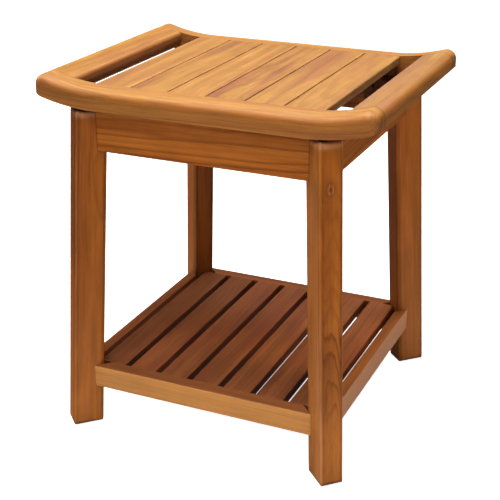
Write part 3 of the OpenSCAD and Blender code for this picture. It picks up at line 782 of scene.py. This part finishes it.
class BENCH_OT_aprons(Maker):
    """Oiled teak on the four aprons, with long near-straight stripes"""

    bl_idname = "bench.aprons"
    bl_label = "Aprons"

    def make(self, wood):
        colours = palette(wood, "apron")
        # each apron's side, its grain, which way through its board the bench's inside is, and the
        # painted shade beneath the handle on the upper part of its outer face
        aprons = (
            ("front", X, -1, 0), ("back", X, 1, 0), ("left", Y, 1, -0.6), ("right", Y, -1, -0.6),
        )
        for i, (side, along, inward, shade) in enumerate(aprons):
            node = f"apron_{side}"
            board = board_of(node, along, Z)
            inner, top = inward * board.half[THROUGH], board.half[ACROSS]
            look = dict(
                seed=31 + i, colours=colours, pith=(110, 34), rings=7.5, figure=0.75,
                wander=0.5, fibre=0.6, cloud=0.3, rough=0.42, shine=0.15, coat=0.25,
                coat_rough=0.12, tilt=(0.03, 0.02), line=0.4, level=-0.06, seam=0.5,
                # painted shade on the inner face, in a band below the rail, and on the side aprons'
                # outer face beneath the handles
                shades=(
                    (-0.5, (THROUGH, 0.5 * inner, 0.9 * inner)),
                    (-0.1, (ACROSS, top - 14, top - 6)),
                    (
                        shade, (ACROSS, 0, 16), (ALONG, -95, -60),
                        (THROUGH, -0.5 * inner, -0.9 * inner),
                    ),
                ),
            )
            dress(node, teak(f"teak_{node}", board, look, wood))


class BENCH_OT_shelf(Maker):
    """Oiled teak on the shelf's rails and seven slats"""

    bl_idname = "bench.shelf"
    bl_label = "Shelf"

    def make(self, wood):
        slat_colours = palette(wood, "shelf")
        # each rail's side, its grain, its colours, the painted light and shade that its top gains
        # in each colour, its level, which lightens the right rail as painted light, and how far its
        # outer side goes toward a painted pink sheen
        rails = (
            ("front", X, palette(wood, "rail"), (0.42, 0.33, 0.42), 0.0, 0.0),
            ("back", X, slat_colours, None, 0.0, 0.0),
            ("left", Y, slat_colours, None, 0.0, 0.0),
            ("right", Y, slat_colours, (0.92, 0.95, 0.8), 0.72, 0.95),
        )
        for i, (side, along, colours, top_shading, level, pink) in enumerate(rails):
            node = f"shelf_rail_{side}"
            board = board_of(node, along, Z)
            outer = board.half[THROUGH]
            look = dict(
                seed=41 + i, colours=colours, pith=(64, 20), rings=3.2, figure=0.25,
                wander=0.5, fibre=0.5, cloud=0.2, top_shading=top_shading, level=level, shine=0.3,
                seam=0.35, fades=((wood.rail_side, pink, (THROUGH, outer - 1.6, outer - 0.6)),),
            )
            dress(node, teak(f"teak_{node}", board, look, wood))
        # painted light and shade on each slat: how pale it is at its front end, in its middle and
        # at its back end
        painted_light = (
            (-0.27, -0.1, -0.35), (0.06, -0.02, -0.2), (-0.08, 0.3, 0.08), (-0.17, 0.5, 0.06),
            (-0.12, 0.66, 0.12), (-0.22, 0.62, 0.0), (-0.2, 0.85, 0.16),
        )
        for i, (front, middle, back) in enumerate(painted_light):
            node = f"shelf_slat_{i + 1}"
            board = board_of(node, Y, X)
            side = board.half[ACROSS]
            look = dict(
                seed=51 + i, colours=slat_colours, pith=((-1) ** i * (40 + 7 * i), -50 - 6 * i),
                rings=4.5, figure=0.4, red=0.5, blush=wood.shelf_blush, fibre=0.6, cloud=0.4,
                level=middle,
                # the painted light from front to back, and painted shade on the long sides, in the
                # gaps
                shades=(
                    (front - middle, (ALONG, -20, -110)),
                    (back - middle, (ALONG, 40, 130)),
                    (-0.3, (ACROSS, side - 0.9, side - 0.2)),
                    (-0.3, (ACROSS, 0.9 - side, 0.2 - side)),
                ),
            )
            dress(node, teak(f"teak_{node}", board, look, wood))


# half sizes of a corner block and of a dowel, and the middle of the dowels' wood, in mm
BLOCK_HALF, DOWEL_HALF, DOWEL_CENTRE = (60.0, 26.0, 12.0), (9.0, 4.0, 4.0), (0, 0, 400)
# painted shade: the wood hidden inside the bench is made darker
HIDDEN_SHADE_SHARE = 0.3  # how bright the hidden wood is, as a share of the shelf's colours


class BENCH_OT_hidden_wood(Maker):
    """Plainer wood on the cleats, corner blocks and dowels inside the bench; cleats and blocks in
    painted shade
    """

    bl_idname = "bench.hidden_wood"
    bl_label = "Cleats, Blocks and Dowels"

    def make(self, wood):
        colours = [
            tuple(HIDDEN_SHADE_SHARE * c for c in shade) for shade in palette(wood, "shelf")
        ]
        # the cleats' screws are steel: they are passed over, and their seeds with them
        for i, node in enumerate(n for n in sorted(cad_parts) if "cleat_" in n):
            if node.endswith("screws"):
                continue
            look = dict(seed=61 + i, colours=colours, pith=(30, 30), rings=4.0, figure=0.3)
            dress(node, teak(f"teak_{node}", board_of(node, X, Y), look, wood))
        corners = [(x, y) for x in (-1, 1) for y in (-1, 1)]
        for i, (side_x, side_y) in enumerate(corners):
            for group in ("apron_block", "shelf_block"):
                node = f"{group}_{corner_name(side_x, side_y)}"
                low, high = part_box(node)
                board = Board((low + high) / 2 / MM, (side_y, -side_x, 0), Z, BLOCK_HALF)
                look = dict(seed=71 + i, colours=colours, pith=(30, 40), rings=4.0, figure=0.3)
                dress(node, teak(f"teak_{node}", board, look, wood))
        for node, along in (("handle_dowels", Y), ("leg_dowels", Z)):
            look = dict(seed=81, colours=palette(wood, "seat"), pith=(9, 9), rings=3.0, figure=0.1)
            board = Board(DOWEL_CENTRE, along, X, DOWEL_HALF)
            dress(node, teak(f"beech_{node}", board, look, wood))


class BENCH_OT_hardware(Maker):
    """Plated steel on the bolts, washers, nuts and screws"""

    bl_idname = "bench.hardware"
    bl_label = "Bolts and Screws"

    def make(self, wood):
        metal = steel("plated_steel", wood)
        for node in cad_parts:
            if node.endswith(("bolts", "washers", "nuts", "screws")):
                dress(node, metal)


# ---------- the stage ----------


# each soft light's setting, its place and the length of its sides, in metres
LIGHTS = (
    ("overhead", (0, 0, 2.2), 0.6),
    ("front", (0, -0.8, 2.1), 0.9),
    ("back", (0, 0.7, 2.1), 0.9),
    ("left", (-2.0, -0.2, 1.4), 1.2),
    ("right", (1.4, -1.4, 1.2), 1.2),
)
LIGHTS_AIM = (0, 0, 0.3)

# the floor, in metres: its radius, and the heights of the floor that is seen and of the one that
# only throws light back
FLOOR_RADIUS, SEEN_HEIGHT, BOUNCE_HEIGHT = 60, -0.0004, -0.0002
FLOOR_CORNERS, FLOOR_ROUGH = 96, 0.9


def softbox(name, place, side, power):
    """A soft square light at place, which shines at the bench."""
    lamp = bpy.data.lights.new(name, "AREA")
    lamp.shape, lamp.size, lamp.size_y = "RECTANGLE", side, side
    lamp.energy = power
    held = bpy.data.objects.new(name, lamp)
    held.location = place
    held.rotation_mode = "QUATERNION"
    held.rotation_quaternion = (Vector(LIGHTS_AIM) - Vector(place)).to_track_quat("-Z", "Y")
    held.visible_camera = False
    bpy.context.scene.collection.objects.link(held)


# the camera, solved from the photograph's straight edges: places and limits of view in metres,
# roll in radians, shift as a share of the picture, and the sensor's width in mm
CAMERA_PLACE = (0.54346, -1.22944, 0.77111)
CAMERA_AIM = (0.00949, -0.03582, 0.220)
CAMERA_ROLL = math.radians(-0.12)
CAMERA_SHIFT = (0.00046, -0.00474)
CAMERA_SENSOR, CAMERA_LIMITS = 36.0, (0.05, 200.0)


class BENCH_OT_stage(bpy.types.Operator):
    """A pale floor, soft lights and the camera"""

    bl_idname = "bench.stage"
    bl_label = "Stage"

    def execute(self, context):
        stage = context.scene.bench_stage
        self.floor(stage)
        self.lights(context.scene, stage)
        self.camera(context.scene, stage)
        return {"FINISHED"}

    def disc(self, name, height, material):
        """A round floor at a height: the radius times the cosine and sine of equal angles."""
        ring = np.linspace(0, 2 * math.pi, FLOOR_CORNERS, endpoint=False)
        x, y = FLOOR_RADIUS * np.cos(ring), FLOOR_RADIUS * np.sin(ring)
        points = np.stack([x, y, 0 * ring + height], 1)
        mesh = bpy.data.meshes.new(name)
        mesh.from_pydata(points.tolist(), [], [list(range(len(ring)))])
        mesh.materials.append(material)
        floor = bpy.data.objects.new(name, mesh)
        bpy.context.scene.collection.objects.link(floor)
        return floor

    def floor(self, stage):
        """Two floors in one place: the lower one is what the camera sees, near white with faint
        shadows, and the upper one, unseen, throws the light overhead back up at the bench."""
        tree = Tree("floor_white")
        seen = tree.node(
            "ShaderNodeBsdfPrincipled",
            Base_Color=tuple(stage.floor),
            Roughness=FLOOR_ROUGH,
            Emission_Color=(1.0, 1.0, 1.0),
            Emission_Strength=stage.floor_glow,
        )
        floor = self.disc("studio_floor", SEEN_HEIGHT, tree.finish(seen))
        floor.visible_diffuse = floor.visible_glossy = False
        tree = Tree("floor_bounce")
        bounce = tree.node(
            "ShaderNodeBsdfPrincipled", Base_Color=tuple(stage.floor), Roughness=FLOOR_ROUGH
        )
        floor = self.disc("bounce_floor", BOUNCE_HEIGHT, tree.finish(bounce))
        floor.visible_camera = floor.visible_glossy = floor.visible_shadow = False

    def lights(self, scene, stage):
        """Five soft lights and white surroundings."""
        for name, place, side in LIGHTS:
            softbox(f"{name}_light", place, side, getattr(stage, name))
        world = bpy.data.worlds.new("studio_white")
        world.use_nodes = True
        sky = next(n for n in world.node_tree.nodes if n.type == "BACKGROUND")
        sky.inputs["Color"].default_value = (1, 1, 1, 1)
        sky.inputs["Strength"].default_value = stage.ambient
        scene.world = world
        scene.view_settings.view_transform = "Standard"

    def camera(self, scene, stage):
        """The camera stands where the photograph was taken from."""
        lens = bpy.data.cameras.new("camera")
        lens.lens, lens.sensor_width = stage.lens, CAMERA_SENSOR
        lens.shift_x, lens.shift_y = CAMERA_SHIFT
        lens.clip_start, lens.clip_end = CAMERA_LIMITS
        lens.dof.use_dof = False
        eye = bpy.data.objects.new("camera", lens)
        look = (Vector(CAMERA_AIM) - Vector(CAMERA_PLACE)).to_track_quat("-Z", "Y")
        turn = look.to_matrix() @ Matrix.Rotation(CAMERA_ROLL, 3, "Z")
        eye.matrix_world = Matrix.Translation(CAMERA_PLACE) @ turn.to_4x4()
        scene.collection.objects.link(eye)
        scene.camera = eye


STEPS = (
    BENCH_OT_seat_frame, BENCH_OT_seat_slats, BENCH_OT_legs, BENCH_OT_aprons, BENCH_OT_shelf,
    BENCH_OT_hidden_wood, BENCH_OT_hardware, BENCH_OT_stage,
)


class BENCH_PT_panel(bpy.types.Panel):
    """Lists the bench's operators and settings"""

    bl_label = "Teak Shower Bench"
    bl_idname = "BENCH_PT_panel"
    bl_space_type = "VIEW_3D"
    bl_region_type = "UI"
    bl_category = "Bench"

    def draw(self, context):
        for step in STEPS:
            self.layout.operator(step.bl_idname)
        for group in (context.scene.bench_wood, context.scene.bench_stage):
            for name in group.__annotations__:
                self.layout.prop(group, name)


CLASSES = (BENCH_PG_wood, BENCH_PG_stage, *STEPS, BENCH_PT_panel)


def register():
    """Makes the classes and the scene's settings known to Blender."""
    for made in CLASSES:
        bpy.utils.register_class(made)
    bpy.types.Scene.bench_wood = bpy.props.PointerProperty(type=BENCH_PG_wood)
    bpy.types.Scene.bench_stage = bpy.props.PointerProperty(type=BENCH_PG_stage)


def unregister():
    """Takes back what register did."""
    del bpy.types.Scene.bench_wood, bpy.types.Scene.bench_stage
    for made in reversed(CLASSES):
        bpy.utils.unregister_class(made)


def main():
    register()
    for step in STEPS:
        group, name = step.bl_idname.split(".")
        getattr(getattr(bpy.ops, group), name)()
    bpy.context.view_layer.update()


if __name__ == "__main__":
    main()
